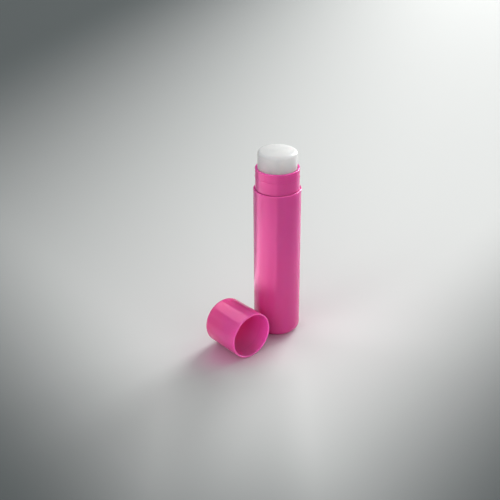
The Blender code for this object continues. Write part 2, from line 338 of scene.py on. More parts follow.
def start_disc(name, points, radius, height):
    """A flat disc on the stick's axis, opened in edit mode: the section of a bar."""
    bpy.ops.object.select_all(action="DESELECT")
    bpy.ops.mesh.primitive_circle_add(
        vertices=points, radius=radius, fill_type="NGON", location=(0, 0, height)
    )
    return start_piece(name)


def add_fluted_bar(radius, low, high):
    """A bar with straight grooves, for the screw's foot and, grown, for its socket."""
    bar = start_disc("fluted_bar", spline_count * spline_points, radius, low)
    pick("VERT", lambda corner: turn_share(corner, spline_count) > spline_top_share)
    shrink = 1 - spline_depth / radius
    bpy.ops.transform.resize(value=(shrink, shrink, 1), center_override=(0, 0, low))
    bpy.ops.mesh.select_all(action="SELECT")
    pull(high - low)
    return close_piece(bar)


def add_ribs(inner, outer, width, low, high):
    """Upright bars spread evenly round the axis: one is modelled and spun into four."""
    bpy.ops.object.select_all(action="DESELECT")
    turn = math.tau / rib_count
    reach = (inner + outer) / 2
    middle = (reach * math.cos(turn / 2), reach * math.sin(turn / 2), (low + high) / 2)
    size = (outer - inner, width, high - low)
    bpy.ops.mesh.primitive_cube_add(size=1, location=middle, rotation=(0, 0, turn / 2), scale=size)
    ribs = start_piece("ribs")
    bpy.ops.mesh.select_all(action="SELECT")
    bpy.ops.mesh.bevel(offset=edge_break, segments=edge_steps, affect="EDGES")
    bpy.ops.mesh.select_all(action="SELECT")
    copies = rib_count - 1
    bpy.ops.mesh.spin(steps=copies, angle=turn * copies, dupli=True, center=(0, 0, 0), axis=UP)
    return close_piece(ribs)


# %% Socket in the sleeve's floor
socket_wall = 1.3 * MM
socket_height = 3.9 * MM
socket_rib_width = 0.8 * MM
socket_rib_height = 1.8 * MM
socket_steps = 3
cut_overrun = 1 * MM
socket_radius = spline_radius + spline_gap + socket_wall
socket_top = sleeve_floor + socket_height

pick("FACE", flat_at(sleeve_floor, UP))
bpy.ops.mesh.inset(thickness=sleeve_bore - inner_round - socket_radius)
pull(socket_height)
round_edge(rim_round, socket_steps, ring_at(socket_top, socket_radius))
close_piece(sleeve)
rib_reach = sleeve_bore + join_depth
rib_foot = sleeve_floor - join_depth
rib_top = sleeve_floor + socket_rib_height
socket_ribs = add_ribs(socket_radius - join_depth, rib_reach, socket_rib_width, rib_foot, rib_top)
combine(sleeve, socket_ribs, "UNION")
socket_hole = add_fluted_bar(spline_radius + spline_gap, sleeve_floor, socket_top + cut_overrun)
combine(sleeve, socket_hole, "DIFFERENCE")
finish_surface(sleeve)

# %% [markdown]
# ## The inner tube and its neck
# The tube runs down inside the sleeve, and its upper end is the neck that the cap snaps on to.
# Its wall changes width several times: a lip at the foot that hooks under the screw's flange, a
# shoulder that stands just clear of the sleeve, and a low snap ring. The ring is steep below and
# slopes gently above, so the cap slips on easily and holds. All that is easiest as an outline
# turned round the axis. It is drawn like a pencil line, one extruded vertex after another.

# %% Draw an outline and turn it
MERGE_DISTANCE = 0.0001 * MM


def draw_outline(name, points):
    """A closed outline of (radius, height) points in the XZ plane, in edit mode."""
    bpy.ops.object.select_all(action="DESELECT")
    corners = [Vector((radius, 0, height)) for radius, height in points]
    bpy.ops.mesh.primitive_plane_add(size=MM, location=corners[0])
    piece = start_piece(name)
    bpy.ops.mesh.select_all(action="SELECT")
    bpy.ops.mesh.merge(type="CENTER")
    for before, after in zip(corners, corners[1:] + corners[:1]):
        bpy.ops.mesh.extrude_region_move(TRANSFORM_OT_translate={"value": after - before})
    bpy.ops.mesh.select_all(action="SELECT")
    bpy.ops.mesh.remove_doubles(threshold=MERGE_DISTANCE)
    return piece


def round_corner(radius, steps, at):
    """Rounds one corner of the outline, at a (radius, height) point."""
    place = Vector((at[0], 0, at[1]))
    pick("VERT", lambda corner: (corner.co - place).length < NEAR)
    bpy.ops.mesh.bevel(offset=radius, segments=steps, profile=0.5, affect="VERTICES")


def turn_outline(piece):
    """Spins the outline once round the axis and closes the seam."""
    bpy.ops.mesh.select_all(action="SELECT")
    bpy.ops.mesh.spin(steps=ROUND_SIDES, angle=math.tau, center=(0, 0, 0), axis=UP)
    bpy.ops.mesh.select_all(action="SELECT")
    bpy.ops.mesh.remove_doubles(threshold=MERGE_DISTANCE)
    return close_piece(piece)


# %% The tube
shoulder_gap = 0.3 * MM
shoulder_seat = 0.14 * MM
snap_ring_height = 4.2 * MM
snap_ring_width = 0.8 * MM
snap_ring_under = 0.22 * MM
snap_ring_crest = 0.1 * MM
lip_round = 0.2 * MM
foot_lip_steps = 3
foot_lip_thickness = 1.2 * MM
foot_lip_grip = 0.5 * MM
tube_rib_top_gap = 0.7 * MM
shoulder = sleeve_top + shoulder_seat
ring_middle = sleeve_top + snap_ring_height
foot_lip_bottom = tube_low.z
foot_lip_top = foot_lip_bottom + foot_lip_thickness
foot_lip_bore = flange_radius - foot_lip_grip

tube = draw_outline(
    "neck_tube",
    [
        (foot_lip_bore, foot_lip_bottom),
        (tube_radius, foot_lip_bottom),
        (tube_radius, shoulder),
        (neck_radius, shoulder),
        (neck_radius, ring_middle - snap_ring_under),
        (snap_ring_radius, ring_middle - snap_ring_crest),
        (snap_ring_radius, ring_middle + snap_ring_crest),
        (neck_radius, ring_middle + snap_ring_width - snap_ring_under),
        (neck_radius, neck_top),
        (tube_bore, neck_top),
        (tube_bore, foot_lip_top),
        (foot_lip_bore, foot_lip_top),
    ],
)
round_corner(lip_round, rim_steps, (neck_radius, neck_top))
round_corner(lip_round, rim_steps, (tube_bore, neck_top))
round_corner(edge_break, edge_steps, (neck_radius, shoulder))
round_corner(lip_round, foot_lip_steps, (foot_lip_bore, foot_lip_bottom))
round_corner(lip_round, foot_lip_steps, (tube_radius, foot_lip_bottom))
round_corner(edge_break / 2, edge_steps, (snap_ring_radius, ring_middle - snap_ring_crest))
round_corner(edge_break, edge_steps, (snap_ring_radius, ring_middle + snap_ring_crest))
turn_outline(tube)
print(f"The neck stands {(neck_top - sleeve_top) / MM:.1f} mm out of the sleeve")

# %% [markdown]
# Four straight ribs run down the inside of the tube. They turn the carrier with the tube and
# let it slide, so they have to be as long as its travel.

# %% Ribs in the tube
flange_thickness = 1.2 * MM
flange_bottom = foot_lip_top + shoulder_gap
flange_top = flange_bottom + flange_thickness
tube_rib_low = flange_top + shoulder_gap
tube_rib_high = sleeve_top - tube_rib_top_gap
tube_ribs = add_ribs(rib_inner_radius, tube_bore + join_depth, rib_width, tube_rib_low, tube_rib_high)
combine(tube, tube_ribs, "UNION")
finish_surface(tube)

# %% [markdown]
# ## The screw spindle
# The screw is the heart of the stick: a left-handed thread with two starts and a coarse lead,
# so that a few turns lift the balm. A thread with such a long lead is really a twisted bar. So
# the section is drawn once, with one lobe for each start, pulled up into a straight bar, cut
# into many short lengths and twisted with the Simple Deform modifier. The twist of the modifier
# is zero at the height of the object's origin, which is also where the mechanical model counts from.

# %% Section of the thread
thread_radius = 1.75 * MM
thread_depth = 0.6 * MM
thread_lead = 5.0 * MM
thread_starts = 2
thread_points = 24
thread_steps_per_turn = 44
root_end_share = 0.42
crest_start_share = 0.55
crest_end_share = 0.87


def ease(share):
    """A smooth step from 0 to 1, for the rounded flanks of a moulded thread."""
    share = min(max(share, 0), 1)
    return share * share * (3 - 2 * share)


def thread_radius_at(share, crest, spare):
    """The radius of the section within one start: root, flank, crest and flank back."""
    root = crest - thread_depth
    rise = ease((share + spare - root_end_share) / (crest_start_share - root_end_share))
    fall = ease((1 + spare - share) / (1 - crest_end_share))
    return root + (crest - root) * min(rise, fall)


# %% Twist a bar into a screw
def add_screw(low, high, grow, flank_gap):
    """A twisted bar between two heights. Grown all round, it cuts the nut."""
    crest = thread_radius + grow
    spare = flank_gap * thread_starts / thread_lead
    screw = start_disc("screw", thread_starts * thread_points, crest, low)
    for column in range(thread_points):
        share = column / thread_points
        scale = thread_radius_at(share, crest, spare) / crest
        near_share = 0.5 / thread_points
        pick("VERT", lambda corner: abs(turn_share(corner, thread_starts) - share) < near_share)
        bpy.ops.transform.resize(value=(scale, scale, 1), center_override=(0, 0, low))
    bpy.ops.mesh.select_all(action="SELECT")
    pull(high - low)
    pick("EDGE", lambda edge: abs(edge.verts[0].co.z - edge.verts[1].co.z) > (high - low) / 2)
    turns = (high - low) / thread_lead
    bpy.ops.mesh.subdivide(number_cuts=math.ceil(turns * thread_steps_per_turn))
    close_piece(screw)
    twist = -math.tau * turns
    use_modifier(screw, "SIMPLE_DEFORM", deform_method="TWIST", deform_axis="Z", angle=twist)
    return screw


# %% [markdown]
# Under the thread sit a collar and the flange that carries the tube, and below them the splined
# foot. Each is shaped by itself and joined on with a Boolean, as the mould cavity joins them.

# %% The spindle
collar_radius = 2.6 * MM
collar_height = 0.6 * MM
flange_round = 2 * edge_break
flange_steps = 3
thread_tip = 0.8 * MM
thread_top = spindle_high.z - thread_tip
collar_top = flange_top + collar_height

spindle = add_cylinder("lead_screw", flange_radius, flange_bottom, flange_top)
pick("FACE", flat_at(flange_top, UP))
bpy.ops.mesh.inset(thickness=flange_radius - collar_radius)
pull(collar_height)
round_edge(flange_round, flange_steps, ring_at(collar_top, collar_radius))
round_edge(flange_round, flange_steps, ring_at(flange_top, flange_radius))
round_edge(flange_round, flange_steps, ring_at(flange_bottom, flange_radius))
close_piece(spindle)

rod = add_screw(flange_bottom + join_depth, thread_top, 0, 0)
bpy.ops.object.mode_set(mode="EDIT")
pick("FACE", flat_at(thread_top, UP))
pull(thread_tip)
tip_scale = 1 - thread_depth / thread_radius
bpy.ops.transform.resize(value=(tip_scale, tip_scale, 1), center_override=(0, 0, spindle_high.z))
close_piece(rod)
combine(spindle, rod, "UNION")
foot = add_fluted_bar(spline_radius, spindle_low.z, flange_bottom + flange_thickness / 2)
combine(spindle, foot, "UNION")
finish_surface(spindle)

# %% [markdown]
# ## The elevator cup
# This carrier holds the foot of the balm in its upper half. Below the web hangs a skirt that
# guides it in the tube, and a hub whose top is the nut on the screw. Four slots let the ribs of
# the tube through. It is hollowed from both ends like the sleeve.

# %% The cup, its skirt and its hub
cup_wall = 0.7 * MM
cup_web = 1.2 * MM
cup_skirt = 6.0 * MM
hub_radius = 3.3 * MM
nut_thread_height = 2.4 * MM
thread_gap = 0.2 * MM
flank_gap = 0.15 * MM
nut_bore_spare = 0.2 * MM
cup_bottom = carrier_low.z
cup_top = carrier_high.z
web_bottom = cup_bottom + cup_skirt
web_top = web_bottom + cup_web
cup_bore = carrier_radius - cup_wall

carrier = add_cylinder("carrier_cup", carrier_radius, cup_bottom, cup_top)
pick("FACE", flat_at(cup_top, UP))
bpy.ops.mesh.inset(thickness=cup_wall)
pull(web_top - cup_top)
pick("FACE", flat_at(cup_bottom, DOWN))
bpy.ops.mesh.inset(thickness=cup_wall)
bpy.ops.mesh.inset(thickness=cup_bore - hub_radius)
skirt_middle = (cup_bore + hub_radius) / 2


def under_the_skirt(face):
    """The ring of faces between the skirt's wall and the hub."""
    radius = away(face.calc_center_median(), stick_axis)
    return flat_at(cup_bottom, DOWN)(face) and abs(radius - skirt_middle) < cup_wall


pick("FACE", under_the_skirt)
pull(cup_skirt)
round_edge(edge_break, edge_steps, ring_at(cup_top, carrier_radius))
round_edge(edge_break, edge_steps, ring_at(cup_bottom, carrier_radius))
close_piece(carrier)
print(f"The cup holds the lowest {(cup_top - web_top) / MM:.1f} mm of the balm")

# %% Slots, plain bore and nut thread
cut_low = cup_bottom - cut_overrun
cut_high = cup_top + cut_overrun
slots = add_ribs(slot_inner_radius, carrier_radius + cut_overrun, slot_width, cut_low, cut_high)
combine(carrier, slots, "DIFFERENCE")
nut_bottom = web_top - nut_thread_height
bore_radius = thread_radius + thread_gap + nut_bore_spare
plain_bore = add_cylinder("plain_bore", bore_radius, cut_low, nut_bottom)
combine(carrier, close_piece(plain_bore), "DIFFERENCE")
nut = add_screw(nut_bottom - cut_overrun, web_top + cut_overrun, thread_gap, flank_gap)
combine(carrier, nut, "DIFFERENCE")
finish_surface(carrier)

# %% [markdown]
# ## The balm
# The wax is poured into the cup from above and cools with a soft shoulder and a slightly
# domed top. The dome comes from a few insets, each a little higher than the last, that follow
# a circle. The foot is narrower, because it stands inside the cup, and is hollow for the screw.

# %% The wax stick
balm_edge_round = 1.1 * MM
balm_edge_steps = 12
balm_crown = 0.4 * MM
crown_rings = 8
crown_tip_share = 0.03
balm_gap = 0.1 * MM
balm_hole_gap = 0.3 * MM
screw_tip_gap = 0.5 * MM
balm_rise = cup_bottom - (collar_top + shoulder_gap)
balm_foot = balm_low.z
balm_shoulder = cup_top + balm_gap
balm_edge = balm_high.z - balm_crown
balm_foot_radius = cup_bore - balm_gap
flat_radius = balm_radius - balm_edge_round

balm = add_cylinder("wax_stick", balm_radius, balm_shoulder, balm_edge)
pick("FACE", flat_at(balm_shoulder, DOWN))
bpy.ops.mesh.inset(thickness=balm_radius - balm_foot_radius)
pull(balm_foot - balm_shoulder)
round_edge(balm_edge_round, balm_edge_steps, ring_at(balm_edge, balm_radius))
pick("FACE", flat_at(balm_edge, UP))
ring_shares = [1 - ring / crown_rings for ring in range(crown_rings)] + [crown_tip_share]
for outer, inner in zip(ring_shares, ring_shares[1:]):
    rise = balm_crown * (outer**2 - inner**2)
    bpy.ops.mesh.inset(thickness=flat_radius * (outer - inner), depth=rise)
close_piece(balm)
print(f"The balm stands {(balm_high.z - neck_top) / MM:.1f} mm out of the neck")

# %% Hole for the screw and grooves for the ribs
hole_low = balm_foot - cut_overrun
hole_top = spindle_high.z + screw_tip_gap + balm_rise
hole = add_cylinder("hole", thread_radius + balm_hole_gap, hole_low, hole_top)
combine(balm, close_piece(hole), "DIFFERENCE")
groove_top = tube_rib_high + rib_gap + balm_rise
grooves = add_ribs(slot_inner_radius, balm_radius + cut_overrun, slot_width, hole_low, groove_top)
combine(balm, grooves, "DIFFERENCE")
finish_surface(balm)

# %% [markdown]
# ## The cap
# The cap is a short cup like the sleeve, but it lies on its side, so its axis points along Y and
# the picking helpers are given that axis. Its bore steps outwards for the snap ring and then
# narrows towards the closed end. Each stage is one pull, followed by a resize of the same face.

# %% The cap's shell
cap_fit = 0.08 * MM
cap_end_wall = 1.2 * MM
cap_draft = 0.6 * MM
cap_end_round = 2.2 * MM
cap_inner_round = 1.4 * MM
cap_inner_steps = 8
groove_spare = 0.1 * MM
FORWARD = Vector((0, -1, 0))
BACKWARD = -FORWARD
cap_centre = Vector((cap_low.x + cap_radius, cap_low.y, cap_low.z + cap_radius))
cap_axis = (cap_centre, BACKWARD)
cap_bore = neck_radius + cap_fit
cap_groove = snap_ring_radius + cap_fit
groove_reach = snap_ring_width / 2 + groove_spare
neck_height = neck_top - sleeve_top
bore_stages = [
    (snap_ring_height - groove_reach, cap_bore),
    (snap_ring_height, cap_groove),
    (snap_ring_height + groove_reach, cap_bore),
    (neck_height, cap_bore),
    (cap_length - cap_end_wall - cap_inner_round, cap_bore - cap_draft),
    (cap_length - cap_end_wall, cap_bore - cap_draft),
]

bpy.ops.object.select_all(action="DESELECT")
cap_middle = cap_centre + BACKWARD * cap_length / 2
lying = (math.pi / 2, 0, 0)
bpy.ops.mesh.primitive_cylinder_add(
    vertices=ROUND_SIDES, radius=cap_radius, depth=cap_length, location=cap_middle, rotation=lying
)
cap = start_piece("pull_off_cap")
pick("FACE", flat_at(0, FORWARD, cap_axis))
bpy.ops.mesh.inset(thickness=cap_radius - cap_bore)
depth_now = 0
radius_now = cap_bore
for stage_depth, stage_radius in bore_stages:
    pull(stage_depth - depth_now, BACKWARD)
    scale = stage_radius / radius_now
    face_centre = cap_centre + BACKWARD * stage_depth
    bpy.ops.transform.resize(value=(scale, 1, scale), center_override=face_centre)
    depth_now = stage_depth
    radius_now = stage_radius
print(f"The cap's bore is {depth_now / MM:.1f} mm deep")

# %% Its rounded edges and its gate mark
round_edge(cap_inner_round, cap_inner_steps, ring_at(depth_now, radius_now, cap_axis))
round_edge(cap_end_round, end_steps, ring_at(cap_length, cap_radius, cap_axis))
round_edge(lip_round, rim_steps, ring_at(0, cap_radius, cap_axis))
round_edge(lip_round, rim_steps, ring_at(0, cap_bore, cap_axis))
mark_gate(cap_length, BACKWARD, cap_radius - cap_end_round, cap_axis)
close_piece(cap)
finish_surface(cap)

# %% [markdown]
# ## Materials
# A finish is built like the real surface: a colour that is never perfectly even, a gloss that
# changes a little from place to place, and a relief that only the highlights show. All patterns
# read Object coordinates, which are metres here, so a noise of scale 1000 has bumps of about a
# millimetre.

# %% Start a material
def new_material(name):
    """A material with its node tree, its Principled shader and Object coordinates."""
    material = bpy.data.materials.new(name)
    material.use_nodes = True
    tree = material.node_tree
    coordinates = tree.nodes.new("ShaderNodeTexCoord")
    return material, tree, tree.nodes["Principled BSDF"], coordinates.outputs["Object"]


def set_inputs(node, values):
    """Sets sockets of a node by their names."""
    for name, value in values.items():
        node.inputs[name].default_value = value


# %% Patterns
NOISE_MIDDLE = (0.3, 0.7)


def add_noise(tree, place, scale, detail=2.0):
    """Noise over the surface, from 0 to 1."""
    noise = tree.nodes.new("ShaderNodeTexNoise")
    set_inputs(noise, {"Scale": scale, "Detail": detail})
    tree.links.new(place, noise.inputs["Vector"])
    return noise.outputs["Fac"]


def stretch(tree, place, scale):
    """Object coordinates squeezed or stretched along the axes."""
    mapping = tree.nodes.new("ShaderNodeMapping")
    set_inputs(mapping, {"Scale": scale})
    tree.links.new(place, mapping.inputs["Vector"])
    return mapping.outputs["Vector"]


def remap(tree, value, low, high):
    """Turns the middle of a noise into a range of values."""
    node = tree.nodes.new("ShaderNodeMapRange")
    middle_low, middle_high = NOISE_MIDDLE
    set_inputs(node, {"From Min": middle_low, "From Max": middle_high, "To Min": low, "To Max": high})
    tree.links.new(value, node.inputs["Value"])
    return node.outputs["Result"]


# %% Colours and relief
def plug(tree, socket, value):
    """Puts a number, a colour or the output of another node into a socket."""
    if isinstance(value, bpy.types.NodeSocket):
        tree.links.new(value, socket)
    elif isinstance(value, tuple):
        socket.default_value = (*value, 1)
    else:
        socket.default_value = value


def mix_colours(tree, factor, first, second, blend="MIX"):
    """Blends two colours by a factor."""
    node = tree.nodes.new("ShaderNodeMix")
    node.data_type = "RGBA"
    node.blend_type = blend
    plug(tree, node.inputs["Factor"], factor)
    plug(tree, node.inputs["A"], first)
    plug(tree, node.inputs["B"], second)
    return node.outputs["Result"]


def add_bump(tree, height, distance, below=None):
    """Relief of a real height in metres, on top of another relief if one is given."""
    bump = tree.nodes.new("ShaderNodeBump")
    set_inputs(bump, {"Strength": 1.0, "Distance": distance})
    tree.links.new(height, bump.inputs["Height"])
    if below:
        tree.links.new(below, bump.inputs["Normal"])
    return bump.outputs["Normal"]


# %% [markdown]
# ### Pink polypropylene
# The sleeve, the tube and the cap are moulded in the same dyed polypropylene, in a polished
# tool. Its gloss is clear enough to show the edge of a lamp as a line, and is tinted a little by
# the dye. Light also passes through the thin walls, so no side of them is ever quite dark, and
# the empty cap lets more of it through than the filled stick. Three small things keep it from
# looking like a computer's plastic: the dye is a little cloudy, fine lines run in the direction
# in which the piece was drawn off its core, and the skin has a faint orange peel.

# %% Pink plastic
PINK = (0.87, 0.102, 0.365)
PINK_DEEP = (0.835, 0.098, 0.35)
# The cap is the same plastic, but its two pinks are painted a little darker, as shade.
CAP_PINK_SHADED = (0.77, 0.10, 0.31)
CAP_PINK_DEEP_SHADED = (0.74, 0.096, 0.298)
PINK_SHEEN = (1.0, 0.30, 0.52)
PINK_REACH = (1.0, 0.45, 0.85)
dye_cloud_scale = 110
polish_scale = 5200
polish_roughness = (0.06, 0.09)
draw_line_across = 2600
draw_line_along = 70
draw_line_height = 0.0003 * MM
peel_scale = 520
peel_height = 0.0016 * MM


def pink_plastic(name, draw_axis, reach, first, second):
    """Dyed polypropylene from a polished tool, drawn off its core along one axis."""
    material, tree, shader, place = new_material(name)
    clouds = remap(tree, add_noise(tree, place, dye_cloud_scale, detail=3.0), 0, 1)
    tree.links.new(mix_colours(tree, clouds, first, second), shader.inputs["Base Color"])
    grain = add_noise(tree, place, polish_scale)
    tree.links.new(remap(tree, grain, *polish_roughness), shader.inputs["Roughness"])
    line_scale = [draw_line_across] * 3
    line_scale[draw_axis] = draw_line_along
    lines = add_noise(tree, stretch(tree, place, line_scale), scale=1.0)
    drawn = add_bump(tree, lines, draw_line_height)
    peel = add_noise(tree, place, peel_scale, detail=1.0)
    tree.links.new(add_bump(tree, peel, peel_height, drawn), shader.inputs["Normal"])
    gloss = {"IOR": 1.5, "Specular IOR Level": 0.8, "Specular Tint": (*PINK_SHEEN, 1)}
    depth = {"Subsurface Weight": 1.0, "Subsurface Radius": PINK_REACH, "Subsurface Scale": reach}
    set_inputs(shader, gloss | depth)
    return material


ALONG_Y = 1
ALONG_Z = 2
stick_reach = 2.3 * MM
cap_reach = 3.4 * MM
sleeve_pink = pink_plastic("sleeve_pink_polypropylene", ALONG_Z, stick_reach, PINK, PINK_DEEP)
tube_pink = pink_plastic("tube_pink_polypropylene", ALONG_Z, stick_reach, PINK, PINK_DEEP)
cap_pink = pink_plastic("cap_pink_polypropylene", ALONG_Y, cap_reach, CAP_PINK_SHADED, CAP_PINK_DEEP_SHADED)
print("Pink finishes:", sleeve_pink.name, tube_pink.name, cap_pink.name)

# %% [markdown]
# Two places are painted differently from the rest. Near the foot a deeper pink is painted on the
# sleeve as shade: it is deepest at the foot and grows paler slowly on the way up. In the bore of
# the cap a paler pink is painted as light, for the light that comes in through its thin wall. Both
# could be pieces of their own, but a real moulding has no seam there. So a second pink is laid over
# the first by a factor that a few nodes work out from the place on the piece.

# %% Sums in a node tree
def add_math(tree, operation, first, second):
    """One sum of two values, each a socket or a number."""
    node = tree.nodes.new("ShaderNodeMath")
    node.operation = operation
    plug(tree, node.inputs[0], first)
    plug(tree, node.inputs[1], second)
    return node.outputs["Value"]


def smooth_range(tree, value, low, high, start=0.0, end=1.0):
    """A soft step from one level to another, between two values."""
    node = tree.nodes.new("ShaderNodeMapRange")
    node.interpolation_type = "SMOOTHSTEP"
    set_inputs(node, {"From Min": low, "From Max": high, "To Min": start, "To Max": end})
    tree.links.new(value, node.inputs["Value"])
    return node.outputs["Result"]


def split(tree, vector):
    """The X, Y and Z of a vector."""
    node = tree.nodes.new("ShaderNodeSeparateXYZ")
    tree.links.new(vector, node.inputs["Vector"])
    return node.outputs["X"], node.outputs["Y"], node.outputs["Z"]


def vector_math(tree, operation, vector, output):
    """One sum on a vector, such as its length."""
    node = tree.nodes.new("ShaderNodeVectorMath")
    node.operation = operation
    tree.links.new(vector, node.inputs[0])
    return node.outputs[output]


# %% Lay a colour over a finish
def object_place(tree):
    """The Object coordinates that a material already uses."""
    for node in tree.nodes:
        if node.type == "TEX_COORD":
            return node.outputs["Object"]


def lay_over(material, factor, colour):
    """Lays a colour over the base colour where the factor is 1."""
    tree = material.node_tree
    socket = tree.nodes["Principled BSDF"].inputs["Base Color"]
    below = socket.links[0].from_socket
    tree.links.new(mix_colours(tree, factor, below, colour), socket)
    print(f"Another pink on {material.name}")


# %% Painted shade at the foot
PAINTED_FOOT_SHADE = (0.56, 0.05, 0.235)
foot_shade_low = 34 * MM
foot_shade_high = 60 * MM
foot_shade_share = 0.55
tree = sleeve_pink.node_tree
_, _, height_up = split(tree, object_place(tree))
near_foot = smooth_range(tree, height_up, 0, foot_shade_low, foot_shade_share, 0)
wide_share = 2 - 2 * foot_shade_share
wide_foot = smooth_range(tree, height_up, -foot_shade_high, foot_shade_high, wide_share, 0)
# Painted shade: the sleeve's pink is laid deeper towards the foot.
lay_over(sleeve_pink, add_math(tree, "ADD", near_foot, wide_foot), PAINTED_FOOT_SHADE)

# %% Painted light in the cap's bore
PAINTED_BORE_LIGHT = (0.86, 0.125, 0.37)
tree = cap_pink.node_tree
cap_place = tree.nodes.new("ShaderNodeMapping")
set_inputs(cap_place, {"Location": (-cap_centre.x, 0, -cap_centre.z), "Scale": (1, 0, 1)})
tree.links.new(object_place(tree), cap_place.inputs["Vector"])
off_axis = vector_math(tree, "LENGTH", cap_place.outputs["Vector"], "Value")
# Painted light: the bore of the cap gets a paler pink.
lay_over(cap_pink, smooth_range(tree, off_axis, cap_bore, cap_bore + lip_round, 1, 0), PAINTED_BORE_LIGHT)

# %% [markdown]
# ### Undyed polypropylene
# The two inner pieces are moulded without dye. Undyed polypropylene is milky: light enters it
# and comes out a little way off. Their tool is not polished, so the skin is dull and fine-grained.

# %% Natural plastic
NATURAL = (0.80, 0.80, 0.76)
NATURAL_WARM = (0.76, 0.755, 0.70)
NATURAL_REACH = (1.0, 0.95, 0.85)
milk_cloud_scale = 260
dull_grain_scale = 7000
dull_grain_height = 0.0015 * MM
dull_roughness = (0.38, 0.5)
natural_reach = 0.8 * MM


def natural_plastic(name):
    """Milky, undyed polypropylene with a dull skin."""
    material, tree, shader, place = new_material(name)
    clouds = remap(tree, add_noise(tree, place, milk_cloud_scale, detail=3.0), 0, 1)
    tree.links.new(mix_colours(tree, clouds, NATURAL, NATURAL_WARM), shader.inputs["Base Color"])
    grain = add_noise(tree, place, dull_grain_scale)
    tree.links.new(remap(tree, grain, *dull_roughness), shader.inputs["Roughness"])
    tree.links.new(add_bump(tree, grain, dull_grain_height), shader.inputs["Normal"])
    depth = {"Subsurface Radius": NATURAL_REACH, "Subsurface Scale": natural_reach}
    set_inputs(shader, {"Subsurface Weight": 0.4} | depth)
    return material


spindle_natural = natural_plastic("spindle_natural_polypropylene")
carrier_natural = natural_plastic("carrier_natural_polypropylene")
print("Undyed finishes:", spindle_natural.name, carrier_natural.name)

# %% [markdown]
# ### Wax
# The balm is a blend of waxes and oils. It is pale and slightly see-through: light wanders for
# several millimetres inside it, so its shaded side is almost as bright as its top, and near the
# neck the light comes back pink from the tube. Its skin is smooth with a soft sheen, with faint
# flow marks from the pour.

# %% Balm wax
WAX = (0.83, 0.845, 0.835)
WAX_CLOUD = (0.78, 0.795, 0.785)
WAX_REACH = (1.0, 0.97, 0.93)
wax_cloud_scale = 330
wax_skin_scale = 2400
wax_skin_height = 0.002 * MM
wax_roughness = (0.34, 0.46)
flow_scale = 420
flow_height = 0.03 * MM
wax_reach = 6.0 * MM


def balm_wax(name):
    """Pale wax that scatters light under its skin."""
    material, tree, shader, place = new_material(name)
    clouds = remap(tree, add_noise(tree, place, wax_cloud_scale, detail=4.0), 0, 1)
    tree.links.new(mix_colours(tree, clouds, WAX, WAX_CLOUD), shader.inputs["Base Color"])
    skin = add_noise(tree, place, wax_skin_scale, detail=3.0)
    tree.links.new(remap(tree, skin, *wax_roughness), shader.inputs["Roughness"])
    flow = add_noise(tree, place, flow_scale)
    fine = add_bump(tree, skin, wax_skin_height)
    tree.links.new(add_bump(tree, flow, flow_height, fine), shader.inputs["Normal"])
    depth = {"Subsurface Radius": WAX_REACH, "Subsurface Scale": wax_reach}
    clearness = {"IOR": 1.44, "Transmission Weight": 0.28}
    set_inputs(shader, {"Subsurface Weight": 1.0} | depth | clearness)
    return material


wax = balm_wax("balm_wax")
print("Wax finish:", wax.name)

# %% [markdown]
# ## Dress the mechanical model
# Every new piece takes the place of one mechanical piece and moves with the same body. Each row
# also gives the material slot that the piece stands for.

# %% Hang the pieces on the bodies
dressing = [
    (sleeve, sleeve_pink, "base", "outer_sleeve", "sleeve_plastic"),
    (tube, tube_pink, "tube", "inner_tube", "tube_plastic"),
    (spindle, spindle_natural, "base", "screw_spindle", "spindle_plastic"),
    (carrier, carrier_natural, "carrier", "elevator_cup", "cup_plastic"),
    (balm, wax, "carrier", "lip_balm", "balm_wax"),
    (cap, cap_pink, "cap", "cap", "cap_plastic"),
]
for piece, finish, body, node, slot in dressing:
    piece.data.materials.clear()
    piece.data.materials.append(finish)
    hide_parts(node)
    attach(piece, body)
    print(f"{piece.name} stands for {node} and rides on {body}")

# %% [markdown]
# ## The table
# The stick stands on a plain pale table under a soft pool of light. The pool is painted in the colour
# of the table, which fades to grey in three directions: towards the near edge, to the left and
# to the back left. Each fade runs between two distances from the stick, in millimetres. One
# more soft shadow is painted in front of the two pieces and runs on towards the near edge.

# %% Fades of the table
TABLE_PALE = (0.578, 0.590, 0.581)
TABLE_GREY = (0.082, 0.092, 0.093)
table_fades = [(-80, 17, 112), (124, -42, 289), (179, 32, 120)]
stick_foot = Vector((0, 0))


def turned_place(tree, place, centre, turn):
    """Places on the table in millimetres, from a centre and along a turned axis."""
    mapping = tree.nodes.new("ShaderNodeMapping")
    mapping.vector_type = "TEXTURE"
    origin = {"Location": (centre.x, centre.y, 0), "Rotation": (0, 0, math.radians(turn))}
    set_inputs(mapping, origin | {"Scale": (MM, MM, 1)})
    tree.links.new(place, mapping.inputs["Vector"])
    return mapping.outputs["Vector"]


# %% Painted shadow in front of the pieces
shade_foot = Vector((-11.4, 9.8)) * MM
shade_turn = -130.6
shade_start = (18, 38)
shade_width = 24
shade_depth = 0.26


def painted_front_shade(tree, place):
    """The soft shadow painted in front of the pieces, from 0 to its depth."""
    ahead, aside, _ = split(tree, turned_place(tree, place, shade_foot, shade_turn))
    off_middle = add_math(tree, "MULTIPLY", aside, aside)
    across = smooth_range(tree, off_middle, 0, shade_width**2, shade_depth, 0)
    return add_math(tree, "MULTIPLY", across, smooth_range(tree, ahead, *shade_start))


# %% [markdown]
# The thin plastic lets some light through, and that pink light is painted into the table's colour
# close to the pieces, on the side away from the key lamp. The Ambient Occlusion node, turned
# towards that lamp, tells how open the way to it is. The less open it is, the pinker the table is
# painted, and the painted tint moves with the cap.

# %% Painted pink shadow beside the pieces
PAINTED_SHADOW_PINK = (1.0, 0.52, 0.76)
WHITE = (1.0, 1.0, 1.0)
tint_reach = 22 * MM
towards_key = (0.8, 0.25, 0.55)
tint_openness = (0.28, 0.62)


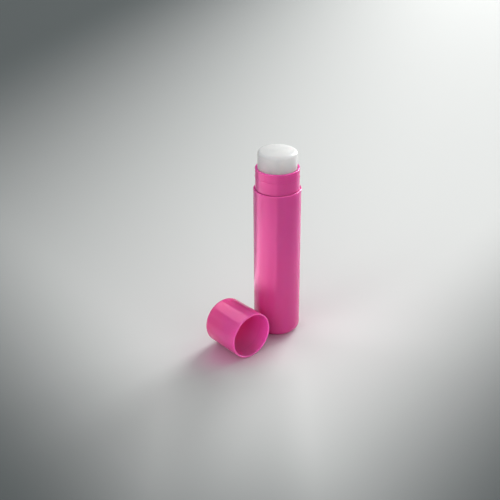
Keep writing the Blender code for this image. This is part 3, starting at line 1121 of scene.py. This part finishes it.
def open_way(tree, way, reach):
    """How open the surface is towards one way, from 0 under a piece to 1."""
    cover = tree.nodes.new("ShaderNodeAmbientOcclusion")
    set_inputs(cover, {"Distance": reach})
    normal = tree.nodes.new("ShaderNodeCombineXYZ")
    set_inputs(normal, dict(zip("XYZ", way)))
    tree.links.new(normal.outputs["Vector"], cover.inputs["Normal"])
    return cover.outputs["AO"]


# %% Lay the table
def table_surface():
    """Pale matt table with a painted pool of light, a painted shadow in front of the pieces and a
    painted pink shadow beside them, all in its colour.
    """
    material, tree, shader, place = new_material("pale_table")
    paleness = 1
    # Painted pool of light: the table's colour fades to grey away from the stick.
    for turn, near, far in table_fades:
        ahead, _, _ = split(tree, turned_place(tree, place, stick_foot, turn))
        paleness = add_math(tree, "MULTIPLY", paleness, smooth_range(tree, ahead, near, far, 1, 0))
    # Painted shadow: the table's colour is darker in front of the pieces.
    unshaded = add_math(tree, "SUBTRACT", 1, painted_front_shade(tree, place))
    paleness = add_math(tree, "MULTIPLY", paleness, unshaded)
    colour = mix_colours(tree, paleness, TABLE_GREY, TABLE_PALE)
    # Painted pink shadow: the table's colour is tinted pink where a piece covers the way to the key
    # lamp.
    openness = open_way(tree, towards_key, tint_reach)
    tint = mix_colours(tree, smooth_range(tree, openness, *tint_openness), PAINTED_SHADOW_PINK, WHITE)
    tinted = mix_colours(tree, 1, colour, tint, "MULTIPLY")
    tree.links.new(tinted, shader.inputs["Base Color"])
    set_inputs(shader, {"Roughness": 0.9, "Specular IOR Level": 0.0})
    return material


table_size = 6.0
bpy.ops.object.select_all(action="DESELECT")
bpy.ops.mesh.primitive_grid_add(x_subdivisions=8, y_subdivisions=8, size=table_size, location=(0, 0, 0))
table = bpy.context.object
table.name = "table"
table.data.materials.append(table_surface())
table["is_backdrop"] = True
print(f"Table {table_size:.0f} m wide, with {len(table_fades)} fades")

# %% [markdown]
# ## A glowing card for a painted reflection
# A glossy wall seen from above mirrors what lies low beside it. Photographers lay a card there.
# This one glows, though it is no lamp, and lies to the left of the stick, from a straight line that
# runs through its axis, just above the height of the cap. Only mirror-like rays that come down on
# it can see it, so it paints a reflection on the left of the stick. For all others it is clear, so it
# throws no light and no shadow, and the cap below it doesn't show it. It is faintly pink, so the
# reflection it paints is pink. The sine and the cosine of the turn round the stick let it grow
# brighter away from the line and fade towards its ends.

# %% The card's sizes and levels
PAINTED_REFLECTION_PINK = (1.0, 0.62, 0.80)
card_light = 4.6
card_height = 16.4 * MM
card_size = 500 * MM
card_line_turn = -134
card_line_blur = 0.9
card_near = (5, 20)
card_far = (56, 80)
card_far_level = 0.75
card_end = (-0.5, -0.05)
card_grow = (0.3, 0.85)
card_grow_level = 0.6


# %% Lay the card
def card_surface():
    """A glowing card that mirror-like rays alone see: a painted reflection. Lengths are in millimetres.
    """
    material, tree, shader, place = new_material("glowing_reflection_card")
    tree.nodes.remove(shader)
    turned = turned_place(tree, place, stick_foot, card_line_turn)
    reach = vector_math(tree, "LENGTH", turned, "Value")
    way_x, way_y, _ = split(tree, vector_math(tree, "NORMALIZE", turned, "Vector"))
    _, aside, _ = split(tree, turned)
    beside = add_math(tree, "MULTIPLY", aside, -1)
    sine = add_math(tree, "MULTIPLY", way_y, -1)
    level = smooth_range(tree, beside, -card_line_blur, card_line_blur)
    for factor in (
        smooth_range(tree, reach, *card_near),
        smooth_range(tree, reach, *card_far, 1, card_far_level),
        smooth_range(tree, way_x, *card_end),
        smooth_range(tree, sine, *card_grow, card_grow_level, 1),
    ):
        level = add_math(tree, "MULTIPLY", level, factor)
    # Painted reflection: the card glows for mirror-like rays only, though it is no lamp.
    side = tree.nodes.new("ShaderNodeNewGeometry")
    light_path = tree.nodes.new("ShaderNodeLightPath")
    glossy = light_path.outputs["Is Glossy Ray"]
    from_above = add_math(tree, "SUBTRACT", glossy, side.outputs["Backfacing"])
    seen = add_math(tree, "MULTIPLY", level, add_math(tree, "MAXIMUM", from_above, 0))
    glow = tree.nodes.new("ShaderNodeEmission")
    set_inputs(glow, {"Color": (*PAINTED_REFLECTION_PINK, 1), "Strength": card_light})
    clear = tree.nodes.new("ShaderNodeBsdfTransparent")
    mixed = tree.nodes.new("ShaderNodeMixShader")
    tree.links.new(seen, mixed.inputs["Fac"])
    tree.links.new(clear.outputs["BSDF"], mixed.inputs[1])
    tree.links.new(glow.outputs["Emission"], mixed.inputs[2])
    tree.links.new(mixed.outputs["Shader"], tree.nodes["Material Output"].inputs["Surface"])
    return material


bpy.ops.object.select_all(action="DESELECT")
bpy.ops.mesh.primitive_plane_add(size=card_size, location=(0, 0, card_height))
card = bpy.context.object
card.name = "card"
card.data.materials.append(card_surface())
card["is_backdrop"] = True
print(f"Card {(card_height - cap_high.z) / MM:.1f} mm above the cap")

# %% [markdown]
# ## The camera
# The camera looks down on the stick from the front left, from about 30 cm away with a long lens.
# It could be set by eye, but a few degrees change how round a lip looks. So its place, its three
# turns and its lens were worked out from the outlines of the stick and the cap in the photograph.

# %% Camera
camera_place = Vector((-182.2, -196.3, 167.6)) * MM
camera_turn = math.radians(-40.89)
camera_tilt = math.radians(62.86)
camera_roll = math.radians(-0.57)
lens_length = 63.25
sensor_width = 36.0

camera_data = bpy.data.cameras.new("camera")
camera_data.lens = lens_length
camera_data.sensor_width = sensor_width
camera_data.clip_start = 1 * MM
camera = bpy.data.objects.new("camera", camera_data)
bpy.context.scene.collection.objects.link(camera)
turned = Matrix.Rotation(camera_turn, 4, "Z") @ Matrix.Rotation(camera_tilt, 4, "X")
camera.matrix_world = Matrix.Translation(camera_place) @ turned @ Matrix.Rotation(camera_roll, 4, "Z")
bpy.context.scene.camera = camera
print(f"Camera {camera_place.length / MM:.0f} mm from the foot of the stick")

# %% [markdown]
# ## Studio light
# The key is a softbox at the right and a little behind, half way up. It gives the soft shadow
# towards the near left, and a low lamp beside it draws the shadow out. A wide softbox at the
# back ends in a straight edge, and that edge is the sharp line along the cap. Weaker fills keep
# the near sides from going dark, and the rest of the room is nearly black.

# %% Lamps
lamp_distance = 2400 * MM
lamp_aim = Vector((0, 0, 20 * MM))


def way_to(turn, rise):
    """A direction from degrees round the table and degrees above it."""
    turn, rise = math.radians(turn), math.radians(rise)
    return Vector((math.cos(rise) * math.cos(turn), math.cos(rise) * math.sin(turn), math.sin(rise)))


def add_softbox(name, turn, rise, width, height, radiance):
    """A rectangular lamp of a given brightness that faces the stick."""
    lamp = bpy.data.lights.new(name, "AREA")
    lamp.shape = "RECTANGLE"
    lamp.size = width
    lamp.size_y = height
    lamp.energy = radiance * width * height * math.pi
    softbox = bpy.data.objects.new(name, lamp)
    bpy.context.scene.collection.objects.link(softbox)
    place = way_to(turn, rise) * lamp_distance
    facing = (lamp_aim - place).to_track_quat("-Z", "Y")
    softbox.matrix_world = Matrix.Translation(place) @ facing.to_matrix().to_4x4()
    print(f"{name}: {lamp.energy:.1f} W")


add_softbox("key_softbox", turn=17, rise=36, width=1.00, height=0.80, radiance=15.5)
add_softbox("back_softbox", turn=88, rise=48, width=1.74, height=1.08, radiance=2.2)
add_softbox("low_right_fill", turn=5, rise=14, width=1.50, height=0.90, radiance=12.5)
add_softbox("right_fill", turn=-25, rise=20, width=1.50, height=1.20, radiance=1.2)
add_softbox("left_fill", turn=165, rise=30, width=1.80, height=1.50, radiance=1.5)
add_softbox("front_left_fill", turn=205, rise=40, width=2.70, height=1.80, radiance=1.95)
add_softbox("front_right_fill", turn=-75, rise=22, width=2.70, height=1.60, radiance=1.85)

# %% Room
room_light = 0.05
world = bpy.data.worlds.new("room")
bpy.context.scene.world = world
world.use_nodes = True
background = world.node_tree.nodes["Background"]
set_inputs(background, {"Color": (*WHITE, 1), "Strength": room_light})
bpy.context.scene.view_settings.view_transform = "Standard"
print("Light of the room:", room_light)

# %% [markdown]
# ## Compare the size
# The dressed stick must fill the same box as the mechanical model. How far the two boxes differ is
# printed.

# %% Compare the two boxes
dressed_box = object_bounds()
growth = max((dressed_box[1] - frame_box[1]).length, (dressed_box[0] - frame_box[0]).length)
print(f"The dressed box differs from the mechanical one by {growth / MM:.3f} mm")
